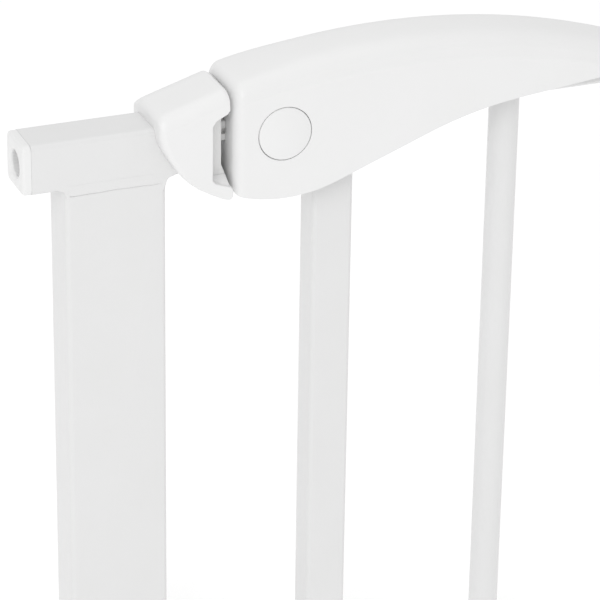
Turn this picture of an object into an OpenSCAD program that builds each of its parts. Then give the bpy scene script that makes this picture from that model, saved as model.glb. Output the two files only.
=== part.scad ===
// Stair gate latch: the latch end of a pressure-fit metal stair gate.
// The left side is the fixed frame: a post, a stub bar and the catch on the bar's end.
// The right side is the gate: tubes, a hollow handle, and a sprung bolt that two buttons draw back.
// Origin: centre of the stub bar where it meets its end cap. +X runs along the bar to the gate,
// +Z is up, and -Y faces the person who opens the gate.

/* [Frame] */
// Side of the square stub bar
bar_side = 20; // [19:0.5:21]
// Length of the stub bar
bar_len = 62; // [60:0.5:63]
// Wall of the rectangular tubes
tube_wall = 1.5; // [1:0.1:2]
// Outer corner radius of the frame's tubes
tube_corner = 2; // [1:0.5:3]
// Width of the flat post
post_w = 40; // [30:1:44]
// Left side of the post from the bar's end
post_x = 13; // [10:0.5:16]
// How far the upright tubes reach below the bar's axis
tube_drop = 250; // [150:5:400]

/* [Catch] */
// Left face of the catch
catch_x = 48.6; // [47:0.2:50]
// Depth of the catch from front to back
catch_depth = 34; // [32:1:36]
// Height of the hood at its left end
hood_left = 16.4; // [14:0.2:17]
// Height of the hood at its right end
hood_right = 23.9; // [22:0.1:25]
// Right end of the strike insert that takes the bolt
strike_end = 75; // [74:0.2:76]

/* [Gate] */
// Left face of the handle
handle_x = 78.2; // [77.8:0.2:79]
// Right end of the handle
handle_end = 252; // [240:1:252]
// Wall of the handle moulding
shell_wall = 2.2; // [1.8:0.1:2.6]
// Left side of the rectangular stile
stile_x = 114.3; // [114:0.1:116]
// Width of the stile
stile_w = 17; // [15:1:18]
// Depth of the stile
stile_d = 14; // [12:1:15]
// Underside of the top rail above the bar's axis
rail_z = 1.6; // [1:0.1:2]
// Height of the top rail
rail_h = 13; // [12:0.5:13]
// Depth of the top rail
rail_d = 17; // [15:1:18]
// Right end of the top rail
rail_end = 264; // [256:1:300]
// Centre of the round bar
round_x = 197.8; // [190:0.1:205]
// Diameter of the round bar
round_d = 12; // [10:1:14]

/* [Latch] */
// Centre of the buttons along the gate
button_x = 98.5; // [98:0.1:99]
// Height of the buttons and the bolt above the bar's axis
button_z = 3.8; // [3.4:0.1:4.2]
// Diameter of the holes for the buttons
button_hole = 22; // [21:0.5:23]
// Gap between a button and its hole
button_gap = 0.35; // [0.3:0.05:0.5]
// Left end of the bolt when it is shut
bolt_tip = 68.6; // [68:0.2:69]
// Height of the bolt
bolt_h = 8; // [7.6:0.1:8.2]
// Depth of the bolt from front to back
bolt_d = 12; // [11:0.5:12]

/* [Fasteners] */
// Diameter of the pressure spindle's thread
spindle_d = 10; // [9:0.5:10]
// Tapping hole of that thread
spindle_tap = 8.5; // [7:0.1:8.5]
// Core diameter of the self-tapping screws
screw_core = 2.8; // [2.4:0.1:3.2]
// Head diameter of the self-tapping screws
screw_head = 6; // [5:0.5:7]

/* [Hidden] */
$fn = 48;
bar_half = bar_side / 2;
catch_half = catch_depth / 2;
// The handle is as deep as the catch that it meets
handle_half = 17;
wedge_ratio = 2;
rail_top = rail_z + rail_h;
stile_right = stile_x + stile_w;
slide_gap = 0.3;
touch_gap = 0.05;

// ---------- Shared shapes ----------

// Rectangle with round corners, centred
module round_rect(w, h, r) {
  square([w - 2 * r, h], center = true);
  square([w, h - 2 * r], center = true);
  for (sx = [-1, 1], sy = [-1, 1])
    translate([sx * (w / 2 - r), sy * (h / 2 - r)]) circle(r);
}

// Wall of a rectangular tube in outline
module tube_section(w, h, r) {
  difference() {
    round_rect(w, h, r);
    round_rect(w - 2 * tube_wall, h - 2 * tube_wall, max(r - tube_wall, 0.4));
  }
}

// Extrude an outline drawn in X and Z from y0 to y1
module side_plate(y0, y1) {
  translate([0, y1, 0]) rotate([90, 0, 0]) linear_extrude(y1 - y0) children();
}

// Extrude an outline drawn in Y and Z from x0 to x1
module end_plate(x0, x1) {
  translate([x0, 0, 0]) rotate([90, 0, 90]) linear_extrude(x1 - x0) children();
}

// Box between two corners
module block(low, high) {
  translate(low) cube(high - low);
}

// Cylinder across the gate, from y0 back to y1
module cross_cyl(x, z, d, y0, y1) {
  translate([x, y0, z]) rotate([-90, 0, 0]) cylinder(d = d, h = y1 - y0);
}

// Countersunk self-tapping screw: head face at the origin, shank along +Z
head_h = 1.8;
module screw(length) {
  cylinder(d1 = screw_head, d2 = screw_core, h = head_h);
  cylinder(d = screw_core, h = length);
}

// Room for such a screw, a hair larger
module screw_room(length) {
  cylinder(d1 = screw_head + 2 * touch_gap, d2 = screw_core + 2 * touch_gap, h = head_h);
  cylinder(d = screw_core + 2 * touch_gap, h = length);
}

// Concave fillet of weld between a face below z = 0 and a face beyond x = 0
weld_r = 2.6;
module weld_fillet(length, r = weld_r) {
  translate([0, length / 2, 0])
    rotate([90, 0, 0])
      linear_extrude(length)
        difference() {
          translate([0, -r]) square(r);
          translate([r, -r]) circle(r);
        }
}

// ---------- Curves of the handle ----------

// The crown is one arc
crown_x = 150;
crown_z = 34;
crown_r = 300;
function crown(x) = crown_z - crown_r + sqrt(crown_r * crown_r - (x - crown_x) * (x - crown_x));

// The lower edge is a belly, a straight rise and a slow curve that ends almost level. At the right
// end it keeps a least depth below the crown.
least_depth = 10.4;
belly_x = 99;
belly_z = -22.7;
belly_r = 60;
rise_angle = 20.8;
sweep_x = 158;
sweep_r = 160;
level_angle = 6;
rise_x = belly_x + belly_r * sin(rise_angle);
rise_z = belly_z + belly_r * (1 - cos(rise_angle));
sweep_z = rise_z + tan(rise_angle) * (sweep_x - rise_x);
level_x = sweep_x + sweep_r * (sin(rise_angle) - sin(level_angle));
level_z = sweep_z + sweep_r * (cos(level_angle) - cos(rise_angle));
function belly(x) = belly_z + belly_r - sqrt(belly_r * belly_r - (x - belly_x) * (x - belly_x));
function sweep_angle(x) = asin(sin(rise_angle) - (x - sweep_x) / sweep_r);
function sweep(x) = sweep_z + sweep_r * (cos(sweep_angle(x)) - cos(rise_angle));
function free_lower(x) =
  x < rise_x ? belly(x) :
  x < sweep_x ? rise_z + tan(rise_angle) * (x - rise_x) :
  x < level_x ? sweep(x) :
  level_z + tan(level_angle) * (x - level_x);
function lower(x) = min(free_lower(x), crown(x) - least_depth);

// Half of the crown's section: distance from the middle, and depth below the crown
shoulder = [[handle_half, 8.8], [15.6, 5.2], [13.4, 2.6], [10, 0.8], [5, 0]];
function flip(list) = [for (i = [len(list) - 1:-1:0]) list[i]];
function side_of(sign, list) = [for (p = list) [sign * p[0], -p[1]]];
function half_crown(wall) = [for (p = shoulder) [p[0] - wall, p[1] + (p[1] > 0 ? 0.6 : 1) * wall]];
function full_crown(wall) =
  concat(side_of(-1, half_crown(wall)), flip(side_of(1, half_crown(wall))));

// Section of the handle at x: up the front, over the crown and down the back
function handle_section(x, wall) =
  concat([[wall - handle_half, lower(x)]],
         [for (p = full_crown(wall)) [p[0], crown(x) + p[1]]],
         [[handle_half - wall, lower(x)]]);

// Wall of the handle at x, as one closed ring
function handle_ring(x) =
  [for (p = concat(handle_section(x, 0), flip(handle_section(x, shell_wall)))) [x, p[0], p[1]]];

// Closed skin over rings that all have the same number of points. A ring that doubles back on
// itself, such as the handle's wall, has ends made of strips between its two sides.
module skin(rings, doubled = false) {
  count = len(rings[0]);
  last = (len(rings) - 1) * count;
  sides = [for (i = [0:len(rings) - 2], j = [0:count - 1])
    let (k = (j + 1) % count)
    each [[i * count + j, i * count + k, (i + 1) * count + k],
          [i * count + j, (i + 1) * count + k, (i + 1) * count + j]]];
  around = [for (j = [0:count - 1]) j];
  strips = [for (j = [0:count / 2 - 2])
    each [[j, j + 1, count - 2 - j], [j, count - 2 - j, count - 1 - j]]];
  ends = doubled ? strips : [around];
  near_faces = [for (f = ends) flip(f)];
  far_faces = [for (f = ends) [for (j = f) last + j]];
  polyhedron(points = [for (r = rings) each r], faces = concat(sides, near_faces, far_faces));
}

// ---------- Fixed frame ----------

// Flat tube that stands at the side of the opening
module post() {
  color("whitesmoke")
    translate([post_x + post_w / 2, 0, -tube_drop])
      linear_extrude(tube_drop - bar_half) tube_section(post_w, bar_side, tube_corner);
}

// Screw of the catch: place and length
catch_screw_x = 56.5;
catch_screw_z = 1;
catch_screw_len = 11;

// Square tube on top of the post that carries the spindle and the catch
module stub_bar() {
  color("whitesmoke")
    difference() {
      end_plate(0, bar_len) tube_section(bar_side, bar_side, tube_corner);
      translate([catch_screw_x, catch_half, catch_screw_z]) rotate([90, 0, 0])
        screw_room(catch_screw_len);
    }
}

// Weld where the post meets the bar: fillets at the sides, and a fill dressed flush in the
// grooves along the bar's round lower edges
module post_weld() {
  flat = bar_side - 2 * tube_corner;
  corner_y = tube_corner - bar_half;
  color("whitesmoke") {
    for (s = [0, 1])
      mirror([0, s, 0])
        end_plate(post_x + tube_corner, post_x + post_w - tube_corner)
          difference() {
            translate([-bar_half, -bar_half]) square(tube_corner);
            translate([corner_y, corner_y]) circle(tube_corner);
          }
    translate([post_x + post_w, 0, -bar_half]) weld_fillet(flat);
    translate([post_x, 0, -bar_half]) mirror([1, 0, 0]) weld_fillet(flat);
  }
}

// Plastic plug that closes the bar's end around the pressure spindle
cap_flange = 3.5;
cap_corner = 2.5;
cap_spigot = 12;
bar_bore = bar_side - 2 * tube_wall;
module end_cap() {
  color("white")
    difference() {
      union() {
        end_plate(-cap_flange, 0) round_rect(bar_side, bar_side, cap_corner);
        end_plate(0, cap_spigot) round_rect(bar_bore - 0.2, bar_bore - 0.2, 0.5);
      }
      translate([-cap_flange - 1, 0, 0]) rotate([0, 90, 0])
        cylinder(d = spindle_d + 0.4, h = cap_flange + cap_spigot + 2);
    }
}

// Steel nut inside the bar that the pressure spindle screws into
nut_len = 9;
module spindle_nut() {
  color("silver")
    difference() {
      end_plate(cap_spigot, cap_spigot + nut_len) round_rect(bar_bore - 0.1, bar_bore - 0.1, 0.5);
      translate([cap_spigot - 1, 0, 0]) rotate([0, 90, 0]) cylinder(d = spindle_tap, h = nut_len + 2);
    }
}

// ---------- Catch ----------

// Side of the catch: sloping hood, bolt notch, lip, and a cheek that sweeps back up to the bar
hood_end = 76.4;
hood_peak = hood_end - 1.5;
notch_x = 69.4;
catch_outline = [
  [catch_x, hood_left - 2], [catch_x + 2, hood_left], [hood_peak, hood_right],
  [hood_end, hood_right - 1], [hood_end, 16.2], [75.4, 14.9], [70.8, 12.6], [notch_x, 10.5],
  [notch_x, -11.4], [70.4, -12.8], [73, -13.8], [76.8, -15.2], [77.7, -18],
  [76.6, -20.6], [73.4, -19.7], [70, -18], [64, -14.6], [60, -11.4], [56, -7], [52.3, -1.2],
  [50, 3.2], [catch_x, 8]
];

// Block behind the notch, set back from the cheeks, with the socket for the bolt
strike_half = 10.5;
strike_top = 14;
strike_bottom = -13.4;
strike_outline = [
  [bar_len, strike_bottom], [bar_len, strike_top], [strike_end, strike_top],
  [strike_end, -8], [76.2, -11], [76.8, strike_bottom]
];
// The hood's shoulder is fuller at the front than at the back
hood_front_r = 6;
hood_back_r = 11.5;
hood_reach = 64;

// What a round shoulder of radius r takes off a square one
module shoulder_cut(r) {
  difference() {
    translate([-1, 0]) square([r + 1, r + 1]);
    translate([r, 0]) circle(r);
  }
}

module hood_section() {
  difference() {
    translate([-catch_half, -hood_reach]) square([catch_depth, hood_reach]);
    translate([-catch_half, -hood_front_r]) shoulder_cut(hood_front_r);
    translate([catch_half, -hood_back_r]) mirror([1, 0]) shoulder_cut(hood_back_r);
  }
}

module catch_body() {
  slope = atan((hood_right - hood_left) / (hood_peak - catch_x - 2));
  color("white")
    difference() {
      intersection() {
        side_plate(-catch_depth, catch_depth) polygon(catch_outline);
        translate([catch_x + 2, 0, hood_left]) rotate([0, -slope, 0])
          end_plate(-20, 50) hood_section();
      }
      end_plate(catch_x - 1, bar_len)
        round_rect(bar_side + 2 * touch_gap, bar_side + 2 * touch_gap, tube_corner);
      side_plate(-strike_half - touch_gap, strike_half + touch_gap) polygon(strike_outline);
      block([strike_end - 1, -strike_half, strike_bottom], [80, strike_half, strike_top]);
      translate([catch_screw_x, catch_half, catch_screw_z]) rotate([90, 0, 0])
        screw_room(catch_screw_len);
    }
}

module strike_insert() {
  color("gainsboro")
    difference() {
      side_plate(-strike_half, strike_half) polygon(strike_outline);
      block([bolt_tip - 1.6, -bolt_d / 2 - 0.4, button_z - bolt_h / 2 - 0.4],
            [80, bolt_d / 2 + 0.4, button_z + bolt_h / 2 + 0.4]);
    }
}

// Screw through the catch's back cheek into the bar
module catch_screw() {
  color("silver")
    translate([catch_screw_x, catch_half, catch_screw_z]) rotate([90, 0, 0]) screw(catch_screw_len);
}

// ---------- Gate ----------

// Screws that hold the bolt housing on the stile
housing_screw_z = [-14.6, 11];
housing_flange = 2.3;
housing_screw_len = 9;
module at_housing_screws() {
  for (z = housing_screw_z)
    translate([stile_x - housing_flange, 0, z]) rotate([0, 90, 0]) children();
}

// Rectangular tube at the gate's latch side
module gate_stile() {
  color("whitesmoke")
    difference() {
      translate([stile_x + stile_w / 2, 0, -tube_drop])
        linear_extrude(tube_drop + rail_top) tube_section(stile_w, stile_d, tube_corner);
      at_housing_screws() screw_room(housing_screw_len);
    }
}

// Screws through the handle's back wall into the rail
handle_screw_x = [165, 212];
handle_screw_z = rail_z + rail_h / 2;
handle_screw_len = 12;
module at_handle_screws() {
  for (x = handle_screw_x)
    translate([x, handle_half, handle_screw_z]) rotate([90, 0, 0]) children();
}

// Top rail, hidden inside the handle at this end
module gate_rail() {
  color("whitesmoke")
    difference() {
      translate([0, 0, rail_z + rail_h / 2])
        end_plate(stile_right, rail_end) tube_section(rail_d, rail_h, tube_corner);
      at_handle_screws() screw_room(handle_screw_len);
    }
}

// First of the gate's round bars
round_wall = 1.2;
module round_bar() {
  color("whitesmoke")
    translate([round_x, 0, -tube_drop])
      difference() {
        cylinder(d = round_d, h = tube_drop + rail_z);
        translate([0, 0, -1]) cylinder(d = round_d - 2 * round_wall, h = tube_drop + rail_z + 2);
      }
}

// Fillets of weld under the rail: beside the stile and around the round bar
bar_weld_r = 2;
module gate_welds() {
  color("whitesmoke") {
    translate([stile_right, 0, rail_z]) weld_fillet(stile_d - 2 * tube_corner, bar_weld_r);
    translate([round_x, 0, rail_z])
      rotate_extrude()
        difference() {
          translate([round_d / 2, -bar_weld_r]) square(bar_weld_r);
          translate([round_d / 2 + bar_weld_r, -bar_weld_r]) circle(bar_weld_r);
        }
  }
}

// Hollow handle, open below: front, crown, back and left end in one moulding
handle_steps = 34;
rib_half = 3;
rib_top = 9;
rib_inset = 1;
module handle_shell() {
  first = handle_x + shell_wall;
  step = (handle_end - first) / handle_steps;
  color("white")
    difference() {
      union() {
        skin([for (i = [0:handle_steps]) handle_ring(first + step * i)], doubled = true);
        end_plate(handle_x, first) polygon(handle_section(first, 0));
        // Ribs that sit over the rail and take its screws
        for (x = handle_screw_x)
          block([x - rib_half, rib_inset - handle_half, lower(x) + shell_wall],
                [x + rib_half, handle_half - rib_inset, crown(x) - rib_top]);
      }
      // Seat for the rail
      block([stile_right - 1, -rail_d / 2 - touch_gap, -30],
            [handle_end + 1, rail_d / 2 + touch_gap, rail_top + touch_gap]);
      // Button holes, front and back
      cross_cyl(button_x, button_z, button_hole, -30, 30);
      // Slot for the bolt
      block([handle_x - 1, -bolt_d / 2 - slide_gap, button_z - bolt_h / 2 - slide_gap],
            [first + 1, bolt_d / 2 + slide_gap, button_z + bolt_h / 2 + slide_gap]);
      at_handle_screws() screw_room(handle_screw_len);
    }
}

// Curved plate that closes the latch from below
cover_t = 2;
cover_lift = 0.6;
cover_steps = 12;
module underside_cover() {
  x0 = handle_x + shell_wall + 0.2;
  x1 = stile_x - 0.3;
  y1 = handle_half - shell_wall - 0.2;
  xs = [for (i = [0:cover_steps]) x0 + (x1 - x0) * i / cover_steps];
  color("gainsboro")
    side_plate(-y1, y1)
      polygon(concat([for (x = xs) [x, lower(x) + cover_lift]],
                     [for (x = flip(xs)) [x, lower(x) + cover_lift + cover_t]]));
}

module handle_screws() {
  color("silver") at_handle_screws() screw(handle_screw_len);
}

// ---------- Latch ----------

// Bolt: a bar with a window whose right side is an arrow that the wedges push
bolt_end = 103.6;
bolt_low = button_z - bolt_h / 2;
bolt_high = button_z + bolt_h / 2;
arrow_x = 90.5;
arrow_half = 1;
window_x = arrow_x - 8;
window_low = button_z - 2.5;
window_high = button_z + 2.5;
nose = 5;
lug_x = 83.4;
lug_w = 2.4;
lug_low = -7.4;
lug_half = 2.6;
module latch_bolt() {
  half = bolt_d / 2;
  reach = half + 1;
  color("silver")
    difference() {
      union() {
        translate([0, 0, bolt_low])
          linear_extrude(bolt_h)
            polygon([[bolt_tip, -half + 3], [bolt_tip, half - 3], [bolt_tip + nose, half],
                     [bolt_end, half], [bolt_end, -half], [bolt_tip + nose, -half]]);
        block([lug_x, -lug_half, lug_low], [lug_x + lug_w, lug_half, bolt_low + 0.5]);
      }
      translate([0, 0, window_low])
        linear_extrude(window_high - window_low)
          polygon([[window_x, -reach], [window_x, reach],
                   [arrow_x + wedge_ratio * (reach - arrow_half), reach], [arrow_x, arrow_half],
                   [arrow_x, -arrow_half],
                   [arrow_x + wedge_ratio * (reach - arrow_half), -reach]]);
    }
}

// Spring below the bolt, from the bolt's lug to the housing's end wall
spring_z = -4.4;
spring_coil_r = 2;
spring_wire_r = 0.35;
spring_turns = 10;
spring_sides = 6;
spring_per_turn = 10;
spring_x0 = lug_x + lug_w + spring_wire_r + touch_gap;
spring_x1 = stile_x - housing_flange - spring_wire_r - touch_gap;
function coil_point(t, a) =
  let (r = spring_coil_r + spring_wire_r * cos(a), turn = 360 * spring_turns * t)
  [spring_x0 + (spring_x1 - spring_x0) * t + spring_wire_r * sin(a),
   r * cos(turn), spring_z + r * sin(turn)];
module bolt_spring() {
  rings = spring_turns * spring_per_turn;
  color("silver")
    skin([for (i = [0:rings])
      [for (j = [0:spring_sides - 1]) coil_point(i / rings, -360 * j / spring_sides)]]);
}

// Channel that guides the bolt and the spring, screwed to the stile
housing_x = 80.8;
housing_half = 9;
housing_low = -10;
housing_top = bolt_high + slide_gap;
lid_t = 2;
channel_half = bolt_d / 2 + slide_gap;
spring_half = 3;
wedge_window = [91, 104.2];
module bolt_housing() {
  inner_end = stile_x - housing_flange;
  color("dimgray")
    difference() {
      union() {
        block([housing_x, -housing_half, housing_low], [inner_end, housing_half, housing_top]);
        block([inner_end, -stile_d / 2 + 1, -18], [stile_x, stile_d / 2 - 1, rail_top - 0.5]);
      }
      // Bolt channel, open at the left and at the top
      block([housing_x - 1, -channel_half, bolt_low - slide_gap],
            [inner_end, channel_half, housing_top + 1]);
      // Spring channel, with room for the lug
      block([housing_x + 2, -spring_half, lug_low - slide_gap],
            [inner_end, spring_half, bolt_low]);
      // Windows for the wedges, front and back
      block([wedge_window[0], -20, window_low], [wedge_window[1], 20, window_high]);
      at_housing_screws() screw_room(housing_screw_len);
    }
}

// Plate that keeps the bolt in its channel
module housing_lid() {
  color("dimgray")
    block([housing_x, -housing_half, housing_top],
          [stile_x - housing_flange - touch_gap, housing_half, housing_top + lid_t]);
}

module housing_screws() {
  color("silver") at_housing_screws() screw(housing_screw_len);
}

// Plunger behind the front button: guide disc, retaining flange and wedge
disc_d = button_hole - 2 * button_gap;
flange_d = 24.4;
cap_back = -15.5;
flange_front = -handle_half + shell_wall + slide_gap;
flange_back = flange_front + 1.2;
wedge_left = arrow_x + 1;
wedge_tip = -4.5;
wedge_wide = arrow_x + 12.8;
wedge_gap = 0.3;
wedge_half = 2.2;
function wedge_face(y) = arrow_x + wedge_ratio * (-y - arrow_half) - wedge_gap;
function wedge_face_y(x) = -(x + wedge_gap - arrow_x) / wedge_ratio - arrow_half;
module plunger() {
  color("gainsboro") {
    cross_cyl(button_x, button_z, disc_d, cap_back, flange_front);
    cross_cyl(button_x, button_z, flange_d, flange_front, flange_back);
    translate([0, 0, button_z - wedge_half])
      linear_extrude(2 * wedge_half)
        polygon([[wedge_left, flange_back - 0.5], [wedge_wide, flange_back - 0.5],
                 [wedge_wide, wedge_face_y(wedge_wide)], [wedge_face(wedge_tip), wedge_tip],
                 [wedge_left, wedge_tip]]);
  }
}

// Domed cap on a plunger
cap_edge = -handle_half - 0.1;
dome_h = 1.1;
dome_steps = 8;
module button_cap() {
  r = disc_d / 2;
  dome_r = (r * r + dome_h * dome_h) / (2 * dome_h);
  edge_angle = asin(r / dome_r);
  height = cap_back - cap_edge;
  color("white")
    translate([button_x, cap_back, button_z]) rotate([90, 0, 0])
      rotate_extrude()
        polygon(concat([[0, 0], [r, 0]],
          [for (i = [0:dome_steps])
            let (a = edge_angle * (1 - i / dome_steps))
            [dome_r * sin(a), height + dome_h - dome_r * (1 - cos(a))]]));
}

module front_plunger() plunger();
module front_button_cap() button_cap();
module rear_plunger() mirror([0, 1, 0]) plunger();
module rear_button_cap() mirror([0, 1, 0]) button_cap();

// ---------- What is shown ----------

post();
stub_bar();
post_weld();
end_cap();
spindle_nut();
catch_body();
strike_insert();
catch_screw();
gate_stile();
gate_rail();
round_bar();
gate_welds();
handle_shell();
underside_cover();
handle_screws();
bolt_housing();
housing_lid();
housing_screws();
latch_bolt();
bolt_spring();
front_plunger();
front_button_cap();
rear_plunger();
rear_button_cap();
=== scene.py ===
# %% [markdown]
# # A stair gate latch
# We dress the latch end of a white metal stair gate: powder-coated tubes, two smooth mouldings
# (the catch and the hollow handle), two round buttons, and the bolt and its works inside. The
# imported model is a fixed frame. Every piece we make takes its place from it, and rides on one of
# its bodies, so the gate can swing and the buttons can be pressed.

# %% Load the frame
from math import acos, asin, cos, pi, radians, sin, sqrt, tan

import bmesh
import bpy
from mathutils import Matrix, Vector


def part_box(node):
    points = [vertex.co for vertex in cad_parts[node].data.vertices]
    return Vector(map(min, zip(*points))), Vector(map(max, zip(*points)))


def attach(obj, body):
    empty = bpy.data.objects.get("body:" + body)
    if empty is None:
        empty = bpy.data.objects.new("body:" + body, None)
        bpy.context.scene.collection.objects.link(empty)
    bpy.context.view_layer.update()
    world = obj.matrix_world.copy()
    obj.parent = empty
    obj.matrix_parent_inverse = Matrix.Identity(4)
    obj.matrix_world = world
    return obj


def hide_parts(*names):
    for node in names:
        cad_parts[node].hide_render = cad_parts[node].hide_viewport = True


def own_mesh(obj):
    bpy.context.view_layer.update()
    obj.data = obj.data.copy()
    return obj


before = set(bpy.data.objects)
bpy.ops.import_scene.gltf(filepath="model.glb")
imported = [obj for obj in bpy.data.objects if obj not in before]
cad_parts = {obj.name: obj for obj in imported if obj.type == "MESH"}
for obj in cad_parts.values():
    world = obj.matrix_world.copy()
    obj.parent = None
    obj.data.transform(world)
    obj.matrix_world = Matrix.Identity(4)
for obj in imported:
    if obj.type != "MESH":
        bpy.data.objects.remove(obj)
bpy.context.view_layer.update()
MM = 0.001


# %% [markdown]
# ## Sizes
# Sizes are in millimetres, as a maker would say them. Wherever the frame already knows a size,
# such as the ends of a tube, we ask it for the node's box and copy nothing by hand.

# %% Sizes read from the frame
def span(node):
    """Lowest and highest corner of a node, in millimetres."""
    low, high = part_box(node)
    return low / MM, high / MM


POST_LOW, POST_HIGH = span("post")
BAR_LOW, BAR_HIGH = span("stub_bar")
CAP_LOW, CAP_HIGH = span("end_cap")
CATCH_LOW, CATCH_HIGH = span("catch_body")
STRIKE_LOW, STRIKE_HIGH = span("strike_insert")
SHELL_LOW, SHELL_HIGH = span("handle_shell")
STILE_LOW, STILE_HIGH = span("gate_stile")
RAIL_LOW, RAIL_HIGH = span("gate_rail")
ROUND_LOW, ROUND_HIGH = span("round_bar")
BUTTON_LOW, BUTTON_HIGH = span("front_button_cap")
BOLT_LOW, BOLT_HIGH = span("latch_bolt")
BUTTON_X = (BUTTON_LOW.x + BUTTON_HIGH.x) / 2
BUTTON_Z = (BUTTON_LOW.z + BUTTON_HIGH.z) / 2
print(f"handle {SHELL_HIGH.x - SHELL_LOW.x:.0f} mm long")
print(f"button centre {BUTTON_X:.1f}, {BUTTON_Z:.1f}")

# %% [markdown]
# ## Small tools for meshes
# Most pieces here are *skins*: a list of rings of points, joined ring to ring with quads. A tube,
# a dome and the long handle are all skins with different rings, so one short function makes them
# all. Points are given in millimetres and scaled as the mesh is made, so every object stays at
# the origin, unturned and unscaled.

# %% Mesh tools
def mesh_piece(name, points, faces):
    """An object from points in millimetres and faces of point numbers."""
    mesh = bpy.data.meshes.new(name)
    mesh.from_pydata([(x * MM, y * MM, z * MM) for x, y, z in points], [], faces)
    mesh.validate()
    piece = bpy.data.objects.new(name, mesh)
    bpy.context.scene.collection.objects.link(piece)
    return piece


def skin(name, rings, closed=True, first=False, last=False):
    """Quads between rings of equal length. closed joins each ring's ends. first and last fill in
    the first and the last ring."""
    count = len(rings[0])
    points = [p for ring in rings for p in ring]
    faces = []
    for i in range(len(rings) - 1):
        for j in range(count if closed else count - 1):
            k = (j + 1) % count
            faces.append((i * count + j, i * count + k, (i + 1) * count + k, (i + 1) * count + j))
    if first:
        faces.append(tuple(range(count - 1, -1, -1)))
    if last:
        faces.append(tuple((len(rings) - 1) * count + j for j in range(count)))
    piece = mesh_piece(name, points, faces)
    outward(piece)
    return piece


def outward(piece):
    """Merges doubles and turns every face outwards."""
    shape = bmesh.new()
    shape.from_mesh(piece.data)
    bmesh.ops.remove_doubles(shape, verts=shape.verts, dist=1e-7)
    bmesh.ops.recalc_face_normals(shape, faces=shape.faces)
    shape.to_mesh(piece.data)
    shape.free()


def finish_mesh(piece):
    """Turns the piece with its live modifiers into a plain mesh."""
    seen = piece.evaluated_get(bpy.context.evaluated_depsgraph_get())
    plain = bpy.data.meshes.new_from_object(seen)
    piece.modifiers.clear()
    piece.data = plain
    return piece


def bevel(piece, width, segments=3, angle=40):
    """Rounds the edges that turn by more than angle."""
    rounding = piece.modifiers.new("round_edges", "BEVEL")
    rounding.width = width * MM
    rounding.segments = segments
    rounding.limit_method = "ANGLE"
    rounding.angle_limit = radians(angle)
    rounding.harden_normals = False
    return finish_mesh(piece)


def cut(piece, *cutters):
    """Takes the cutters out of the piece and removes them."""
    for cutter in cutters:
        outward(cutter)
        boolean = piece.modifiers.new("cut", "BOOLEAN")
        boolean.operation = "DIFFERENCE"
        boolean.solver = "EXACT"
        boolean.object = cutter
        finish_mesh(piece)
        bpy.data.objects.remove(cutter)
    return piece


def smooth(piece, angle=32):
    """Smooth shading, with edges that turn by more than angle kept crisp."""
    piece.data.shade_smooth()
    piece.data.set_sharp_from_angle(angle=radians(angle))
    return piece


def join(name, pieces):
    """One object from several."""
    with bpy.context.temp_override(active_object=pieces[0], selected_editable_objects=pieces):
        bpy.ops.object.join()
    pieces[0].name = pieces[0].data.name = name
    return pieces[0]


def box_piece(name, low, high):
    """A plain block, used only as a cutter or as the start of a bevelled shape."""
    (x0, y0, z0), (x1, y1, z1) = low, high
    ring = [(y0, z0), (y1, z0), (y1, z1), (y0, z1)]
    return skin(name, [[(x, y, z) for y, z in ring] for x in (x0, x1)], first=True, last=True)


# %% [markdown]
# Outlines come in two kinds. `rounded` turns a list of corners, each with its own radius, into a
# line with true arcs. `turned` spins a half profile about an axis across the gate, for buttons
# and holes.

# %% Outline tools
def quarter(parts):
    """Angles of a quarter turn in equal parts, without the first, which is nought."""
    return [radians(90) * k / parts for k in range(1, parts + 1)]


def rounded(corners, step=12):
    """A closed outline from (x, z, radius) corners. An arc takes a point every step degrees."""
    line = []
    for i, (x, z, radius) in enumerate(corners):
        here = Vector((x, z))
        back = (Vector(corners[i - 1][:2]) - here).normalized()
        ahead = (Vector(corners[(i + 1) % len(corners)][:2]) - here).normalized()
        between = acos(max(-1, min(1, back.dot(ahead))))
        if radius <= 0 or between > pi - 0.01:
            line.append((x, z))
            continue
        reach = radius / tan(between / 2)
        centre = here + (back + ahead).normalized() * radius / sin(between / 2)
        start, end = here + back * reach - centre, here + ahead * reach - centre
        turn = start.angle_signed(end)
        parts = max(2, round(abs(turn) / radians(step)))
        for k in range(parts + 1):
            spoke = start.copy()
            spoke.rotate(Matrix.Rotation(-turn * k / parts, 2))
            line.append(tuple(centre + spoke))
    return line


def turned(name, profile, y_sign=1, x=None, z=None, sides=96):
    """A shape turned about an axis along Y. profile holds (radius, y) from end to end."""
    x = BUTTON_X if x is None else x
    z = BUTTON_Z if z is None else z
    rings = []
    for radius, y in profile:
        rings.append([(x + radius * cos(2 * pi * k / sides), y_sign * y,
                       z + radius * sin(2 * pi * k / sides)) for k in range(sides)])
    return skin(name, rings, first=profile[0][0] > 0, last=profile[-1][0] > 0)


# %% [markdown]
# ## Materials
# All of it is white, so the finishes differ by touch, not by colour; only the bolt's housing and
# lid are dark grey, and that grey is painted shade that keeps the gap between catch and handle
# dark. Powder coat has an orange-peel ripple about a millimetre wide. Moulded plastic has a much
# finer grain and goes a little uneven in gloss where hands rub it. Each texture is worked out from
# Object coordinates, in metres, so it is the same size on every piece.

# %% Materials
def noise(tree, scale, detail=3, roughness=0.5):
    """A noise texture on Object coordinates. scale is in cells per metre."""
    place = tree.nodes.new("ShaderNodeTexCoord")
    cells = tree.nodes.new("ShaderNodeTexNoise")
    cells.inputs["Scale"].default_value = scale
    cells.inputs["Detail"].default_value = detail
    cells.inputs["Roughness"].default_value = roughness
    tree.links.new(place.outputs["Object"], cells.inputs["Vector"])
    return cells.outputs["Fac"]


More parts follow.
